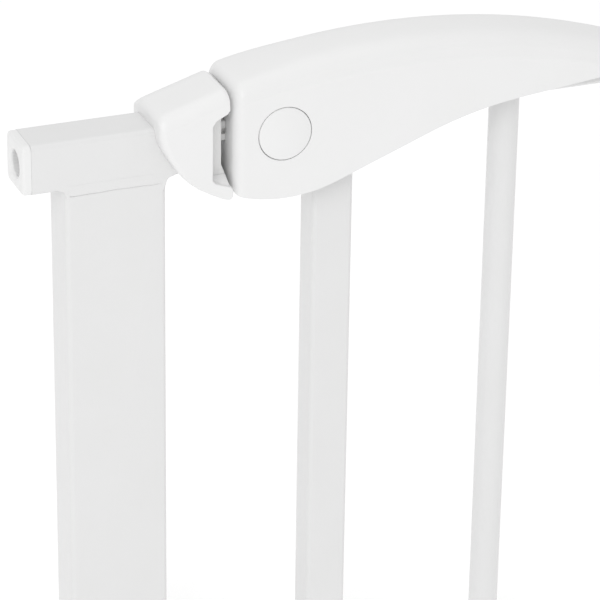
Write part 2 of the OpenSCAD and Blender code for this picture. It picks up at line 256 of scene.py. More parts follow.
def spread(tree, value, low, high):
    """Maps the middle of a noise onto low..high."""
    ranged = tree.nodes.new("ShaderNodeMapRange")
    ranged.inputs["From Min"].default_value = 0.3
    ranged.inputs["From Max"].default_value = 0.7
    ranged.inputs["To Min"].default_value = low
    ranged.inputs["To Max"].default_value = high
    tree.links.new(value, ranged.inputs["Value"])
    return ranged.outputs["Result"]


def finish_material(name, light, dark, gloss, grain, grain_depth, patch=45, metal=0.0, coat=0.0):
    """A procedural finish. light and dark are colours that drift over patches, gloss a pair of
    roughness values, grain the size of the surface ripple in cells per metre."""
    made = bpy.data.materials.new(name)
    made.use_nodes = True
    tree = made.node_tree
    shader = tree.nodes["Principled BSDF"]
    shader.inputs["Metallic"].default_value = metal
    shader.inputs["IOR"].default_value = 1.5
    shader.inputs["Coat Weight"].default_value = coat
    shader.inputs["Coat Roughness"].default_value = 0.25
    drift = noise(tree, patch, detail=4)
    tint = tree.nodes.new("ShaderNodeMix")
    tint.data_type = "RGBA"
    tint.inputs["A"].default_value = (*dark, 1)
    tint.inputs["B"].default_value = (*light, 1)
    tree.links.new(spread(tree, drift, 0, 1), tint.inputs["Factor"])
    tree.links.new(tint.outputs["Result"], shader.inputs["Base Color"])
    rub = noise(tree, patch * 5, detail=5, roughness=0.6)
    tree.links.new(spread(tree, rub, gloss[0], gloss[1]), shader.inputs["Roughness"])
    ripple = tree.nodes.new("ShaderNodeBump")
    ripple.inputs["Strength"].default_value = 0.6
    ripple.inputs["Distance"].default_value = grain_depth * MM
    tree.links.new(noise(tree, grain, detail=2), ripple.inputs["Height"])
    tree.links.new(ripple.outputs["Normal"], shader.inputs["Normal"])
    return made


POWDER = finish_material("white_powder_coat", (0.75, 0.75, 0.75), (0.74, 0.74, 0.738),
                         (0.30, 0.40), grain=1100, grain_depth=0.035, coat=0.05)
MOULDED = finish_material("white_moulding", (0.815, 0.815, 0.815), (0.805, 0.805, 0.803),
                          (0.34, 0.44), grain=3200, grain_depth=0.012)
NYLON = finish_material("white_nylon", (0.76, 0.76, 0.755), (0.74, 0.74, 0.735),
                        (0.45, 0.55), grain=2400, grain_depth=0.015)
# Dark grey for the bolt's housing and lid is painted shade: it keeps the gap between catch and
# handle as dark as the shade deep inside it.
GAP_SHADE_GREY = finish_material("grey_nylon", (0.16, 0.165, 0.17), (0.13, 0.135, 0.14),
                       (0.45, 0.6), grain=2400, grain_depth=0.02)
WAXY = finish_material("bolt_nylon", (0.80, 0.80, 0.795), (0.78, 0.78, 0.77),
                       (0.22, 0.34), grain=1800, grain_depth=0.01)
ZINC = finish_material("zinc_plated_steel", (0.74, 0.75, 0.77), (0.63, 0.64, 0.64),
                       (0.25, 0.42), grain=1500, grain_depth=0.01, patch=300, metal=1.0)


def dress(piece, body, material, slot, *nodes, angle=32):
    """Shades a piece, gives it its finish, and puts it on its body in place of CAD nodes."""
    piece.data.materials.clear()
    piece.data.materials.append(material)
    smooth(piece, angle)
    even = piece.modifiers.new("even_normals", "WEIGHTED_NORMAL")
    even.keep_sharp = True
    finish_mesh(piece)
    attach(piece, body)
    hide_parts(*nodes)
    print(f"{piece.name}: {len(piece.data.polygons)} faces on {body}")
    return piece


# %% [markdown]
# ## Tubes
# Four rectangular tubes and one round bar are the same idea: a section with round corners and a
# wall, drawn out to a length. One Geometry Nodes tree makes them all. A corner radius of half the
# width turns the section into a circle. The tubes are hollow, and the wall shows where they are
# cut.

# %% The tube tree
def group(name, **sockets):
    """An empty Geometry Nodes tree with a geometry output and named inputs."""
    tree = bpy.data.node_groups.new(name, "GeometryNodeTree")
    tree.interface.new_socket("Geometry", in_out="OUTPUT", socket_type="NodeSocketGeometry")
    for label, kind in sockets.items():
        tree.interface.new_socket(label, in_out="INPUT", socket_type=kind)
    given = tree.nodes.new("NodeGroupInput")
    return tree, given.outputs


def node(tree, kind, inputs=None, **settings):
    """A node with its settings, and its inputs wired or set by name or number."""
    made = tree.nodes.new(kind)
    for key, value in settings.items():
        setattr(made, key, value)
    for key, value in (inputs or {}).items():
        if isinstance(value, bpy.types.NodeSocket):
            tree.links.new(value, made.inputs[key])
        else:
            made.inputs[key].default_value = value
    return made


def deliver(tree, geometry, material):
    """Ends a tree: real geometry with its material."""
    real = node(tree, "GeometryNodeRealizeInstances", {"Geometry": geometry})
    coated = node(tree, "GeometryNodeSetMaterial",
                  {"Geometry": real.outputs[0], "Material": material})
    out = tree.nodes.new("NodeGroupOutput")
    tree.links.new(coated.outputs[0], out.inputs[0])


def grow(name, tree, **values):
    """An object whose mesh the tree makes with these values, as a plain mesh."""
    piece = mesh_piece(name, [(0, 0, 0)], [])
    growth = piece.modifiers.new("growth", "NODES")
    growth.node_group = tree
    for item in tree.interface.items_tree:
        if item.in_out == "INPUT":
            growth[item.identifier] = values[item.name]
    finish_mesh(piece)
    outward(piece)
    return piece


def subtract(tree, first, second, times=1.0):
    """first - times * second, on numbers."""
    return node(tree, "ShaderNodeMath", {0: second, 1: -times, 2: first},
                operation="MULTIPLY_ADD").outputs[0]


FLOAT, VECTOR, ROTATION = "NodeSocketFloat", "NodeSocketVector", "NodeSocketRotation"
tube_tree, given = group("tube", Width=FLOAT, Depth=FLOAT, Corner=FLOAT, Wall=FLOAT, Length=FLOAT,
                         Place=VECTOR, Turn=ROTATION)


def section_curve(tree, width, depth, corner):
    """A rectangle with round corners."""
    frame_curve = node(tree, "GeometryNodeCurvePrimitiveQuadrilateral",
                       {"Width": width, "Height": depth}, mode="RECTANGLE")
    return node(tree, "GeometryNodeFilletCurve",
                {"Curve": frame_curve.outputs[0], "Count": 10, "Radius": corner,
                 "Limit Radius": True}, mode="POLY").outputs[0]


outer = section_curve(tube_tree, given["Width"], given["Depth"], given["Corner"])
inner = section_curve(tube_tree, subtract(tube_tree, given["Width"], given["Wall"], 2),
                      subtract(tube_tree, given["Depth"], given["Wall"], 2),
                      subtract(tube_tree, given["Corner"], given["Wall"], 0.9))
both = node(tube_tree, "GeometryNodeJoinGeometry")
tube_tree.links.new(inner, both.inputs[0])
tube_tree.links.new(outer, both.inputs[0])
face = node(tube_tree, "GeometryNodeFillCurve", {"Curve": both.outputs[0]}, mode="TRIANGLES")
along = node(tube_tree, "ShaderNodeCombineXYZ", {"Z": given["Length"]})
drawn = node(tube_tree, "GeometryNodeExtrudeMesh",
             {"Mesh": face.outputs[0], "Offset": along.outputs[0], "Offset Scale": 1.0,
              "Individual": False}, mode="FACES")
whole = node(tube_tree, "GeometryNodeJoinGeometry")
tube_tree.links.new(drawn.outputs[0], whole.inputs[0])
tube_tree.links.new(face.outputs[0], whole.inputs[0])
welded = node(tube_tree, "GeometryNodeMergeByDistance", {"Geometry": whole.outputs[0],
                                                         "Distance": 1e-6})
placed = node(tube_tree, "GeometryNodeTransform",
              {"Geometry": welded.outputs[0], "Translation": given["Place"],
               "Rotation": given["Turn"]})
deliver(tube_tree, placed.outputs[0], POWDER)


TUBE_WALL = 1.5
TUBE_CORNER = 2.0


def tube(name, low, high, lying=False, corner=TUBE_CORNER, wall=TUBE_WALL):
    """A tube that fills the box from low to high: upright, or lying along X."""
    size, middle = high - low, (low + high) / 2
    width, length = (size.z, size.x) if lying else (size.x, size.z)
    start = (low.x, 0, middle.z) if lying else (middle.x, 0, low.z)
    return grow(name, tube_tree, Width=width * MM, Depth=size.y * MM, Corner=corner * MM,
                Wall=wall * MM, Length=length * MM, Place=Vector(start) * MM,
                Turn=(0, pi / 2, 0) if lying else (0, 0, 0))


# %% [markdown]
# The screws pass through tube walls and cheeks, so each of those gets a clean countersunk hole. A
# hole is a turned cutter, the same shape as the screw and a hair wider.

# %% The tubes and their holes
ROUND_WALL = 1.2
SCREW_CORE = 1.4
SCREW_HEAD = 3.0
HEAD_DEPTH = 1.8


def screw_hole(name, x, z, face_y, length):
    """A cutter for a countersunk screw driven from the back, along -Y."""
    ease = 0.06
    profile = [(SCREW_HEAD + ease, face_y + 1), (SCREW_HEAD + ease, face_y),
               (SCREW_CORE + ease, face_y - HEAD_DEPTH), (SCREW_CORE + ease, face_y - length)]
    return turned(name, profile, x=x, z=z, sides=32)


catch_screw_low, catch_screw_high = span("catch_screw")
CATCH_SCREW = ((catch_screw_low.x + catch_screw_high.x) / 2,
               (catch_screw_low.z + catch_screw_high.z) / 2)
handle_screw_low, handle_screw_high = span("handle_screws")
HANDLE_SCREW_X = (handle_screw_low.x + SCREW_HEAD, handle_screw_high.x - SCREW_HEAD)
HANDLE_SCREW_Z = (handle_screw_low.z + handle_screw_high.z) / 2
housing_screw_low, housing_screw_high = span("housing_screws")
HOUSING_SCREW_Z = (housing_screw_low.z + SCREW_HEAD, housing_screw_high.z - SCREW_HEAD)

CATCH_SCREW_LENGTH = catch_screw_high.y - catch_screw_low.y
HANDLE_SCREW_LENGTH = handle_screw_high.y - handle_screw_low.y

post = tube("post_tube", POST_LOW, POST_HIGH)
stub_bar = tube("stub_bar_tube", BAR_LOW, BAR_HIGH, lying=True)
cut(stub_bar, screw_hole("hole", *CATCH_SCREW, CATCH_HIGH.y, CATCH_SCREW_LENGTH))
stile = tube("stile_tube", STILE_LOW, STILE_HIGH)
hole_half, hole_depth = 1.5, 8
for z in HOUSING_SCREW_Z:
    cut(stile, box_piece("hole", (STILE_LOW.x - 1, -hole_half, z - hole_half),
                         (STILE_LOW.x + hole_depth, hole_half, z + hole_half)))
rail = tube("rail_tube", RAIL_LOW, RAIL_HIGH, lying=True)
for x in HANDLE_SCREW_X:
    cut(rail, screw_hole("hole", x, HANDLE_SCREW_Z, SHELL_HIGH.y, HANDLE_SCREW_LENGTH))
round_bar = tube("round_bar_tube", ROUND_LOW, ROUND_HIGH, corner=ROUND_HIGH.y, wall=ROUND_WALL)
for piece, body, node_name in ((post, "frame", "post"), (stub_bar, "frame", "stub_bar"),
                               (stile, "gate", "gate_stile"), (rail, "gate", "gate_rail"),
                               (round_bar, "gate", "round_bar")):
    dress(piece, body, POWDER, "white_powder_coat", node_name)

# %% [markdown]
# ## Welds
# Where tubes meet, the welder leaves a small concave fillet, and the powder coat softens it.
# Every weld is a hollow corner section swept along its joint, and its size wanders a little, as a
# hand-run bead does. Under the gate's rail that is all. The post is as deep as the bar, so there
# the weld takes two forms. Front and back, it fills the groove under the bar's round edge, is
# dressed nearly flush, and leaves a fine undercut on the post. At the post's sides, it fills the
# corner and runs out into the round edges of both tubes. The fills are joined, not fused, because
# weld and tube are one metal.

# %% Welds
def edge_inset(radius, from_face):
    """How far a rounded edge has drawn in, at a distance in from the face."""
    if radius <= 0 or from_face >= radius:
        return 0
    return radius - sqrt(radius * radius - (radius - from_face) ** 2)


def hollow(size, parts=8):
    """Points of a concave fillet: how far along the first face, and how far down the second."""
    return [(size * (1 - sin(a)), size * (1 - cos(a))) for a in [0.0] + quarter(parts)]


def bead(corner, run, across, down, radius, stations=40):
    """A concave fillet along run from corner. across and down point along the two faces."""
    corner, run, across, down = (Vector(v) for v in (corner, run, across, down))
    rings = []
    for k in range(stations + 1):
        t = k / stations
        wander = 0.93 + 0.05 * sin(37 * t) + 0.02 * sin(91 * t + 1)
        size = radius * wander * min(1, 0.25 + 6 * min(t, 1 - t))
        here = corner + run * t
        rings.append([tuple(here)] + [tuple(here + across * u + down * v)
                                      for u, v in hollow(size)])
    return skin("bead", rings, first=True, last=True)


def ring_bead(x, top, inner_radius, radius, sides=96):
    """A concave fillet round an upright bar under a flat face."""
    rings = []
    for k in range(sides):
        turn = 2 * pi * k / sides
        size = radius * (0.95 + 0.04 * sin(5 * turn) + 0.01 * sin(17 * turn))
        ring = [(inner_radius, top)] + [(inner_radius + u, top - v) for u, v in hollow(size)]
        rings.append([(x + r * cos(turn), r * sin(turn), z) for r, z in ring])
    return skin("bead", rings + [rings[0]])


weld_size = 1.1 * (span("post_weld")[1].x - POST_HIGH.x)


def seam_height(t):
    """Height of the weld's lower edge, a share t of the way along the post."""
    return -BAR_HIGH.y - 2.1 - 0.12 * sin(9 * t) - 0.05 * sin(23 * t)


def seam_groove(y_sign, stations=48):
    """The fine undercut left between the weld's lower edge and the post."""
    rings = []
    for k in range(stations + 1):
        t = k / stations
        x = POST_LOW.x + 0.5 + (POST_HIGH.x - POST_LOW.x - 1.0) * t
        deep = 0.08 + 0.4 * (1 - 0.5 * t) * min(1, 8 * (1 - t))
        seam = seam_height(t)
        rings.append([(x, y_sign * (BAR_HIGH.y + 0.3), seam + 0.1),
                      (x, y_sign * (BAR_HIGH.y - deep), seam - 0.05),
                      (x, y_sign * (BAR_HIGH.y + 0.3), seam - 0.75)])
    return skin("groove", rings, first=True, last=True)


def flush_fill(y_sign, stations=48):
    """Weld dressed flush in the groove under the bar's round edge, with a faint lower seam."""
    half, round_r = BAR_HIGH.y, TUBE_CORNER
    rings = []
    for k in range(stations + 1):
        t = k / stations
        x = POST_LOW.x + 1.4 + (POST_HIGH.x - POST_LOW.x - 2.8) * t
        seam = seam_height(t)
        proud = half + 0.02 + 0.16 * (1 - 0.6 * t) * min(1, 8 * t, 8 * (1 - t))
        ring = [(half - 0.2, seam), (half + 0.02, seam), (proud, seam + 0.25),
                (proud, -half + 0.6), (half + 0.03, -half + round_r)]
        ring += [(half - round_r * (1 - cos(a)), -half + round_r * (1 - sin(a)))
                 for a in quarter(6)]
        ring.append((half - 0.2, -half))
        rings.append([(x, y_sign * y, z) for y, z in ring])
    return skin("fill", rings, first=True, last=True)


def side_fill(x, way, full, stations=72):
    """Weld between the post's side and the bar, run out into the round edges of both tubes."""
    half, inside, taper = BAR_HIGH.y, TUBE_CORNER + 0.2, 3.0
    rings = []
    for k in range(stations + 1):
        t = sin(radians(180) * (k / stations - 0.5))
        y = (half - 0.03) * t
        groove = edge_inset(TUBE_CORNER, half - abs(y)) + 0.02
        size = full * (0.95 + 0.03 * sin(19 * t) + 0.02 * sin(47 * t))
        ring = [(x - way * inside, y, -half + inside),
                (x + way * (size + taper), y, -half + groove)]
        ring += [(x + way * u, y, -half - v) for u, v in hollow(size, 12)]
        ring.append((x - way * groove, y, -half - size - taper))
        rings.append(ring)
    return skin("fill", rings, first=True, last=True)


post_welds = join("post_weld_beads", [
    flush_fill(-1), flush_fill(1),
    side_fill(POST_HIGH.x, 1, weld_size), side_fill(POST_LOW.x, -1, 0.4 * weld_size)])
cut(post, seam_groove(-1), seam_groove(1))
stile_flat = (STILE_HIGH.y - STILE_LOW.y) / 2 - TUBE_CORNER
gate_weld_size = RAIL_LOW.z - span("gate_welds")[0].z
gate_welds = join("gate_weld_beads", [
    bead((STILE_HIGH.x, -stile_flat, RAIL_LOW.z), (0, 2 * stile_flat, 0), (1, 0, 0), (0, 0, -1),
         gate_weld_size),
    ring_bead((ROUND_LOW.x + ROUND_HIGH.x) / 2, RAIL_LOW.z, ROUND_HIGH.y, gate_weld_size)])
dress(post_welds, "frame", POWDER, "white_powder_coat", "post_weld")
dress(gate_welds, "gate", POWDER, "white_powder_coat", "gate_welds")

# %% [markdown]
# ## End cap
# The plug in the bar's open end is one closed skin. Its rings start round at the bore, turn
# square over the flange, and go round again inside the spigot. Both kinds of ring are found by
# looking out from the axis at the same angles, so they join without a twist.

# %% End cap
CAP_ANGLES = [2 * pi * (k + 0.5) / 112 for k in range(112)]


def square_ring(x, half, corner):
    """A square with round corners about the X axis, seen at CAP_ANGLES."""
    ring = []
    for a in CAP_ANGLES:
        u, v = abs(cos(a)), abs(sin(a))
        reach = half / max(u, v)
        inner = half - corner
        if reach * min(u, v) > inner:
            along = inner * (u + v)
            reach = along + sqrt(max(0, along * along - 2 * inner * inner + corner * corner))
        ring.append((x, reach * cos(a), reach * sin(a)))
    return ring


def round_ring(x, radius):
    return [(x, radius * cos(a), radius * sin(a)) for a in CAP_ANGLES]


cap_half = (CAP_HIGH.y - CAP_LOW.y) / 2
cap_bore = 5.2
cap_round = 1.3
cap_flare = 1.2
spigot_half = cap_half - TUBE_WALL - 0.1
cap_rings = [round_ring(CAP_HIGH.x, cap_bore), round_ring(CAP_LOW.x + cap_flare, cap_bore)]
cap_rings += [round_ring(CAP_LOW.x + cap_flare * (1 - sin(a)), cap_bore + cap_flare * (1 - cos(a)))
              for a in quarter(7)]
cap_rings.append(square_ring(CAP_LOW.x, cap_half - cap_round, 1.6))
cap_rings += [square_ring(CAP_LOW.x + cap_round * (1 - cos(a)),
                          cap_half - cap_round * (1 - sin(a)), 1.6 + 0.9 * sin(a))
              for a in quarter(7)]
# the flange's edge, the fine seam against the bar, and the spigot inside it: x, half width, corner
cap_rings += [square_ring(x, half, corner) for x, half, corner in (
    (BAR_LOW.x - 0.12, cap_half, 2.5), (BAR_LOW.x - 0.03, cap_half - 0.12, 2.4),
    (BAR_LOW.x, cap_half - 0.15, 2.4), (BAR_LOW.x, spigot_half, 0.5),
    (CAP_HIGH.x - 0.5, spigot_half, 0.5), (CAP_HIGH.x, spigot_half - 0.5, 0.4))]
end_cap = skin("end_cap_plug", cap_rings + [cap_rings[0]])
dress(end_cap, "frame", MOULDED, "white_moulding", "end_cap")

# %% [markdown]
# ## The catch
# The catch is a side profile with depth, but no edge on it has the same softness: the hood is
# rounded like a shoulder, the edge at the bar is broad, and the jaws are nearly sharp. So we
# stack the profile in planes from front to back. Each corner of the profile carries its own edge
# radius, and draws in by that radius's curve as the plane nears the front or back. The shoulder
# comes from pressing the upper part of the profile down in the outer planes, corners and all. It
# is tighter in front than behind.

# %% Catch: profile
def inward_normals(line):
    """Unit normals into a closed outline, averaged over the two sides at each point."""
    area = sum(line[i - 1][0] * line[i][1] - line[i][0] * line[i - 1][1] for i in range(len(line)))
    turn = 1 if area > 0 else -1
    normals = []
    for i in range(len(line)):
        back, ahead = Vector(line[i - 1]), Vector(line[(i + 1) % len(line)])
        here = Vector(line[i])
        first = (here - back).normalized() if (here - back).length > 1e-6 else Vector((0, 0))
        second = (ahead - here).normalized() if (ahead - here).length > 1e-6 else Vector((0, 0))
        way = (first + second).normalized()
        normals.append(Vector((-way.y, way.x)) * turn)
    return normals


CATCH_HALF = CATCH_HIGH.y
# x and z of the hood's top line at its two ends
HOOD_LEFT = (CATCH_LOW.x + 2, 16.4)
HOOD_RIGHT = (74.9, 23.9)
# radius of the shoulder, and its steepest angle at the left and right end
FRONT_SHOULDER, BACK_SHOULDER = (6.0, 60, 80), (11.5, 31, 45)
# corner x, z, radius in the profile, radius of the front and back edge there
CATCH_CORNERS = [
    (CATCH_LOW.x, 14.4, 3.4, 3.0), (HOOD_LEFT[0], HOOD_LEFT[1], 3.4, 3.0),
    (HOOD_RIGHT[0], HOOD_RIGHT[1], 1.2, 0.6), (76.4, 22.9, 0.9, 0.5), (76.4, 16.2, 0.8, 0.5),
    (75.4, 14.9, 1.0, 0.5), (70.8, 12.6, 1.4, 0.5), (69.4, 10.5, 1.2, 0.5),
    (69.4, 7.5, 0.0, 0.5), (69.4, -11.4, 0.8, 0.5), (70.4, -12.8, 0.8, 0.5),
    (73.0, -13.8, 1.5, 0.5), (76.9, -15.2, 0.6, 0.5), (77.7, -16.4, 0.6, 0.5),
    (77.7, -19.3, 1.0, 0.6), (76.5, -20.6, 0.9, 0.6), (73.4, -19.7, 3.0, 0.8),
    (70.0, -18.0, 8.0, 1.0), (64.0, -14.6, 8.0, 1.2), (60.0, -11.4, 8.0, 1.5),
    (56.0, -7.0, 8.0, 1.8), (52.3, -1.2, 8.0, 2.4), (50.0, 3.2, 8.0, 3.0), (49.3, 5.2, 0.0, 3.0),
    (CATCH_LOW.x, 8.0, 3.4, 3.0)]


def catch_line():
    """The profile, with the edge radius at each point."""
    corners = rounded([corner[:3] for corner in CATCH_CORNERS])
    line = []
    for i, (x, z) in enumerate(corners):
        next_x, next_z = corners[(i + 1) % len(corners)]
        parts = max(1, round(Vector((next_x - x, next_z - z)).length / 1.5))
        line += [(x + (next_x - x) * k / parts, z + (next_z - z) * k / parts)
                 for k in range(parts)]
    radii = []
    for x, z in line:
        near = min(CATCH_CORNERS, key=lambda c: (c[0] - x) ** 2 + (c[1] - z) ** 2)
        radii.append(near[3])
    for _ in range(6):
        radii = [(radii[i - 1] + 2 * radii[i] + radii[(i + 1) % len(radii)]) / 4
                 for i in range(len(radii))]
    return line, radii


def hood_line(x):
    """Height of the hood's sloping top."""
    slope = (HOOD_RIGHT[1] - HOOD_LEFT[1]) / (HOOD_RIGHT[0] - HOOD_LEFT[0])
    return HOOD_LEFT[1] + slope * (x - HOOD_LEFT[0])


# The cheeks lean in above a crease that runs from the bar to the notch, and a little below it
CREASE = (49.3, 4.7), (69.4, 7.5)
LEAN_ABOVE, LEAN_BELOW = 0.06, 0.012
FLOOR_LEFT, FLOOR_RIGHT = 8.5, 16.4


def crease_height(x):
    (x0, z0), (x1, z1) = CREASE
    return z0 + (z1 - z0) * (x - x0) / (x1 - x0)


def lean(x, z):
    """How far a cheek has leaned in at a point of it, in millimetres."""
    above = z - crease_height(x)
    return above * LEAN_ABOVE if above > 0 else -above * LEAN_BELOW


def shoulder_drop(x, side, from_face):
    """How far the shoulder lies below the hood's top: an arc that runs out into a slope."""
    along = max(0, min(1, (x - HOOD_LEFT[0]) / (HOOD_RIGHT[0] - HOOD_LEFT[0])))
    radius, left_angle, right_angle = FRONT_SHOULDER if side < 0 else BACK_SHOULDER
    steepest = radians(left_angle + (right_angle - left_angle) * along)
    arc_end = radius * (1 - sin(steepest))
    if from_face >= arc_end:
        return edge_inset(radius, from_face)
    return radius * (1 - cos(steepest)) + tan(steepest) * (arc_end - from_face)


def shoulder_floor(x):
    """Height below which the shoulder leaves the profile alone: just over bar and upper jaw."""
    share = (x - CATCH_LOW.x) / (HOOD_RIGHT[0] + 1.5 - CATCH_LOW.x)
    return FLOOR_LEFT + (FLOOR_RIGHT - FLOOR_LEFT) * share


def catch_ring(line, radii, normals, y):
    """The profile in the plane at y, in from the nearer face by its edge radii."""
    side = -1 if y < 0 else 1
    from_face = CATCH_HALF - abs(y)
    ring = []
    for (x, z), radius, normal in zip(line, radii, normals):
        inset = edge_inset(radius, from_face)
        x, z = x + normal.x * inset, z + normal.y * inset
        floor_z = shoulder_floor(x)
        if z > floor_z:
            room = hood_line(x) - floor_z
            z = floor_z + (z - floor_z) * (1 - shoulder_drop(x, side, from_face) / room)
        ring.append((x, y - side * lean(x, z) * (1 - from_face / CATCH_HALF), z))
    return ring


line, radii = catch_line()
normals = inward_normals(line)
from_faces = [0, 0.04, 0.12, 0.25, 0.45, 0.7, 1.0, 1.4, 1.9, 2.5, 3.2, 4.0, 5.0, 6.2, 8, 10, 11.8]
levels = [f - CATCH_HALF for f in from_faces] + [CATCH_HALF - f for f in reversed(from_faces)]
catch_rings = [catch_ring(line, radii, normals, y) for y in levels]
catch = skin("catch_moulding", catch_rings, first=True, last=True)
print("catch profile:", len(line), "points in", len(levels), "planes")


# %% [markdown]
# The two end faces of the stack are the cheeks. Each is cut in two along the crease, so that each
# part can lean its own way and stay flat. Then the catch gets its hollows: the pocket that grips
# the bar, the deep slot between the jaws where the strike sits, and the screw hole in the back. A
# low seat with raised sides carries the strike on the lower jaw. The strike is a block with the
# bolt's socket.

# %% Catch: crease, hollows and strike
def split_cheeks(piece):
    """Cuts each cheek's big face from crease end to crease end."""
    shape = bmesh.new()
    shape.from_mesh(piece.data)
    for cheek in sorted(shape.faces, key=lambda f: f.calc_area())[-2:]:
        ends = []
        for x, z in CREASE:
            ends.append(min(cheek.verts, key=lambda v: (v.co.x / MM - x) ** 2 +
                            9 * (v.co.z / MM - crease_height(v.co.x / MM)) ** 2))
        bmesh.utils.face_split(cheek, ends[0], ends[1])
    shape.to_mesh(piece.data)
    shape.free()


split_cheeks(catch)
pocket_half = BAR_HIGH.y + 0.05
pocket_line = rounded([(-pocket_half, -pocket_half, 2), (pocket_half, -pocket_half, 2),
                       (pocket_half, pocket_half, 2), (-pocket_half, pocket_half, 2)])
pocket = skin("pocket", [[(x, y, z) for y, z in pocket_line]
                         for x in (CATCH_LOW.x - 3, BAR_HIGH.x)], first=True, last=True)
STRIKE_HALF = STRIKE_HIGH.y
STRIKE_CORNERS = [
    (STRIKE_LOW.x, STRIKE_LOW.z, 0), (STRIKE_LOW.x, STRIKE_HIGH.z, 0),
    (75.0, STRIKE_HIGH.z, 0.6), (75.0, -8.0, 3.0), (76.2, -11.0, 2.0),
    (STRIKE_HIGH.x, STRIKE_LOW.z, 0.5)]


slot = box_piece("slot", (BAR_HIGH.x, -STRIKE_HALF - 0.05, STRIKE_LOW.z - 0.05),
                 (CATCH_HIGH.x + 3, STRIKE_HALF + 0.05, STRIKE_HIGH.z + 0.05))
cut(catch, pocket, slot, screw_hole("hole", *CATCH_SCREW, CATCH_HALF, CATCH_SCREW_LENGTH))
seat_top = STRIKE_LOW.z - 0.02
seat_right = [(STRIKE_HALF + 0.1, seat_top), (STRIKE_HALF + 0.1, seat_top + 1.6),
              (STRIKE_HALF + 4.5, seat_top - 0.9), (STRIKE_HALF + 4.5, seat_top - 2.6)]
seat_ring = [(-y, z) for y, z in reversed(seat_right)] + seat_right
seat = skin("seat", [[(x, y, z) for y, z in seat_ring] for x in (70.5, 76.4)],
            first=True, last=True)
catch = join("catch_moulding", [catch, seat])
dress(catch, "frame", MOULDED, "white_moulding", "catch_body", angle=38)

strike = skin("strike_block", [[(x, y, z) for x, z in rounded(STRIKE_CORNERS)]
                               for y in (-STRIKE_HALF, STRIKE_HALF)], first=True, last=True)
bolt_half_y, bolt_gap = BOLT_HIGH.y, 0.4
BOLT_TOP = BOLT_HIGH.z
BOLT_BOTTOM = 2 * BUTTON_Z - BOLT_TOP
socket = box_piece("socket", (BOLT_LOW.x - 1.6, -bolt_half_y - bolt_gap, BOLT_BOTTOM - bolt_gap),
                   (CATCH_HIGH.x + 3, bolt_half_y + bolt_gap, BOLT_TOP + bolt_gap))
bevel(strike, 0.35, 2)
cut(strike, socket)
dress(strike, "frame", NYLON, "white_nylon", "strike_insert")

# %% [markdown]
# ## The handle
# The handle is one long moulding, open below. Seen from the end it starts as a box with round
# corners and slowly becomes a crowned section with two soft creases on each side. So we keep two
# sections with the same number of points, blend from one to the other along the length, and
# stretch the result between two curves: the crown, which is one big arc, and the lower edge,
# which has a belly under the buttons and sweeps up to level.

# %% Handle: curves
CROWN_X, CROWN_R, CROWN_Z = 150.0, 300.0, SHELL_HIGH.z
BELLY_X, BELLY_R, BELLY_Z = 99.0, 60.0, SHELL_LOW.z
RISE, LEVEL = radians(20.8), radians(6)
SWEEP_X, SWEEP_R = 158.0, 160.0
RISE_X = BELLY_X + BELLY_R * sin(RISE)
RISE_Z = BELLY_Z + BELLY_R * (1 - cos(RISE))
SWEEP_Z = RISE_Z + tan(RISE) * (SWEEP_X - RISE_X)
LEVEL_X = SWEEP_X + SWEEP_R * (sin(RISE) - sin(LEVEL))
LEVEL_Z = SWEEP_Z + SWEEP_R * (cos(LEVEL) - cos(RISE))
WALL = 2.2
LEAST_DEPTH = 10.4
HANDLE_HALF = SHELL_HIGH.y


def crown(x):
    """Height of the middle of the crown."""
    return CROWN_Z - CROWN_R + sqrt(CROWN_R ** 2 - (x - CROWN_X) ** 2)


def free_lower(x):
    """Height of the lower edge, wherever the handle is deep."""
    if x < RISE_X:
        return BELLY_Z + BELLY_R - sqrt(BELLY_R ** 2 - (x - BELLY_X) ** 2)
    if x < SWEEP_X:
        return RISE_Z + tan(RISE) * (x - RISE_X)
    if x < LEVEL_X:
        angle = asin(sin(RISE) - (x - SWEEP_X) / SWEEP_R)
        return SWEEP_Z + SWEEP_R * (cos(angle) - cos(RISE))
    return LEVEL_Z + tan(LEVEL) * (x - LEVEL_X)


def lower(x):
    """Height of the lower edge, which keeps a least depth below the crown at the right end."""
    return min(free_lower(x), crown(x) - LEAST_DEPTH)


def ease(x, x0, x1):
    """Goes smoothly from 0 at x0 to 1 at x1."""
    t = max(0, min(1, (x - x0) / (x1 - x0)))
    return t * t * (3 - 2 * t)


# %% [markdown]
# A crease is a corner with a small radius. We make it from a short curve between two straight
# runs, so light catches it as a thin line. `crowned` is the section from the lower crease up to
# the middle of the crown, and `boxed` is the round-cornered section with matching points.

# %% Handle: sections
LOW_CREASE = (HANDLE_HALF, 8.8)
HIGH_CREASE = (15.6, 4.7)
CREASE_REACH = 0.8
TOP_SHARES = (0.975, 0.955, 0.93, 0.90, 0.86, 0.81, 0.75, 0.67, 0.57, 0.45, 0.3, 0.15, 0.0)


def top_depth(y):
    """Depth of the crown's section below its middle, at y from the middle."""
    return HIGH_CREASE[1] * (y / HIGH_CREASE[0]) ** 4


def bend_points(start, corner, end, parts=5):
    """A short curve from start to end that bends near corner."""
    made = []
    for k in range(parts + 1):
        t = k / parts
        made.append(tuple((1 - t) ** 2 * s + 2 * t * (1 - t) * c + t * t * e
                          for s, c, e in zip(start, corner, end)))
    return made


def crowned():
    """Half of the section with two creases, as points (y, depth below the crown)."""
    (y2, d2), (y1, d1) = LOW_CREASE, HIGH_CREASE
    slope = Vector((y2 - y1, d2 - d1)).normalized() * CREASE_REACH
    low = bend_points((y2, d2 + CREASE_REACH), (y2, d2), (y2 - slope.x, d2 - slope.y))
    first_y = y1 * TOP_SHARES[0]
    high = bend_points((y1 + slope.x, d1 + slope.y), (y1, d1), (first_y, top_depth(first_y)))
    return low + high + [(y1 * s, top_depth(y1 * s)) for s in TOP_SHARES[1:]]


BOX_R, BOW = 7.6, 0.5


